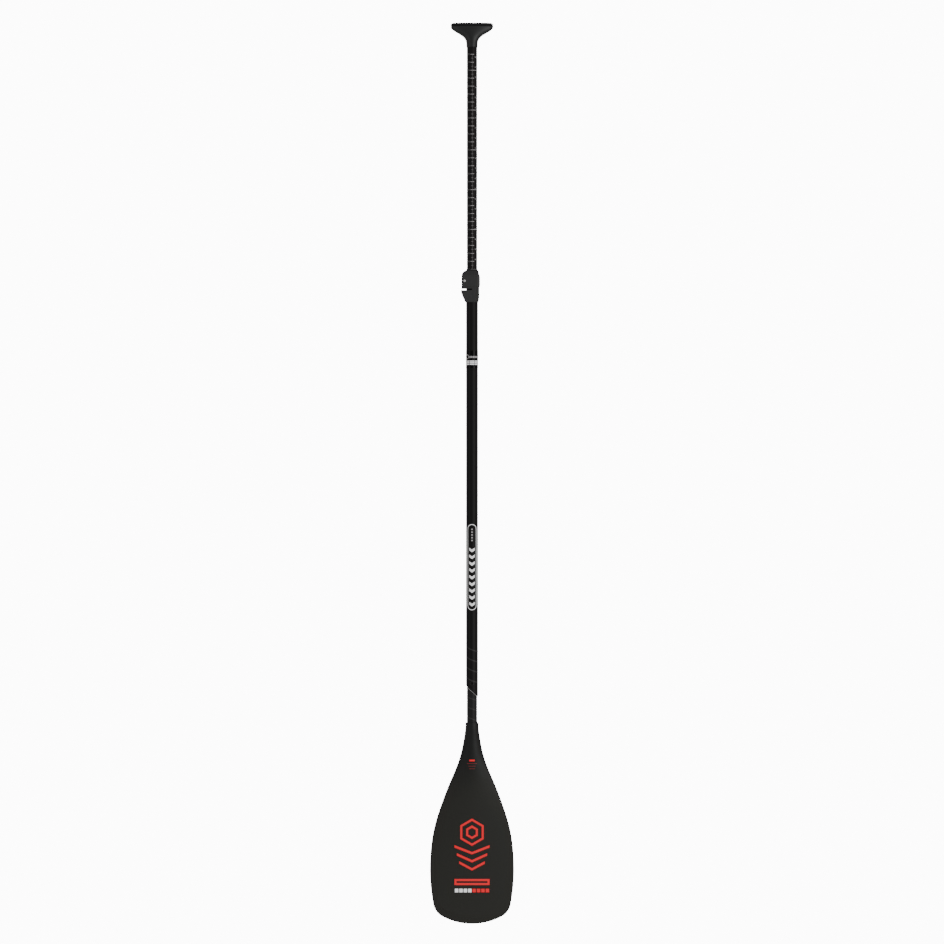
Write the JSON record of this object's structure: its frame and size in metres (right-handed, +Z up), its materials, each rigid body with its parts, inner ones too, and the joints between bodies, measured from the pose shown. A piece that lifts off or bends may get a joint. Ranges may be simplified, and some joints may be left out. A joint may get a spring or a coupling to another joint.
{
  "type": "single blade paddle",
  "caption": "Adjustable single blade paddle: blade on a tubular shaft, with a cam clamp that holds a drawn-out graduated handle section.",
  "frame": {"origin": "on the shaft's axis, in the middle of the glossy band that a rack clip grips", "axes": "+Z up the shaft towards the handle, +X across the blade, -Y the side that the blade leans to"},
  "size_m": [0.2108, 0.0939, 2.26],
  "materials": {
    "shaft_laminate": "satin carbon laminate",
    "band_vinyl": "high gloss",
    "stub_laminate": "sanded carbon laminate",
    "extension_laminate": "satin carbon laminate with printed scale",
    "blade_laminate": "matte carbon laminate",
    "core_foam": "closed-cell foam",
    "plug_foam": "closed-cell foam",
    "clamp_nylon": "fine moulded texture",
    "lever_nylon": "fine moulded texture",
    "saddle_acetal": "smooth",
    "seal_rubber": "smooth",
    "stainless_steel": "turned",
    "insert_brass": "turned",
    "grip_plastic": "fine moulded texture",
    "pad_rubber": "soft touch"
  },
  "bodies": {
    "shaft": {"shaft_tube": "shaft_laminate", "shaft_band": "band_vinyl", "mouth_ring": "seal_rubber", "clamp_collar": "clamp_nylon", "tension_bolt": "stainless_steel", "saddle_washer": "saddle_acetal", "cam_pin": "stainless_steel"},
    "lever": {"cam_lever": "lever_nylon"},
    "nut": {"tension_nut": "stainless_steel"},
    "blade": {"stub_tube": "stub_laminate", "stub_plug": "plug_foam", "lock_insert": "insert_brass", "blade_core": "core_foam", "blade_front_skin": "blade_laminate", "blade_back_skin": "blade_laminate"},
    "lock": {"lock_screw": "stainless_steel"},
    "handle": {"extension_tube": "extension_laminate", "extension_plug": "plug_foam", "grip_stem": "grip_plastic", "grip_front_shell": "grip_plastic", "grip_back_shell": "grip_plastic", "palm_pad": "pad_rubber"}
  },
  "joints": [
    {"name": "handle_slide", "type": "slide", "parent": "shaft", "child": "handle", "axis": [0, 0, 1], "range_m": [-0.545, 0.21]},
    {"name": "blade_slide", "type": "slide", "parent": "shaft", "child": "blade", "axis": [0, 0, -1], "range_m": [0, 0.11]},
    {"name": "lever_hinge", "type": "hinge", "parent": "shaft", "child": "lever", "pos_m": [-0.0185, 0.0241, 0.197], "axis": [0, 0, 1], "range_deg": [0, 120]},
    {"name": "nut_turn", "type": "hinge", "parent": "shaft", "child": "nut", "pos_m": [-0.0185, -0.0192, 0.197], "axis": [0, -1, 0], "continuous": true},
    {"name": "lock_screw_turn", "type": "hinge", "parent": "blade", "child": "lock", "pos_m": [0, -0.0126, -0.814], "axis": [0, -1, 0], "continuous": true}
  ]
}
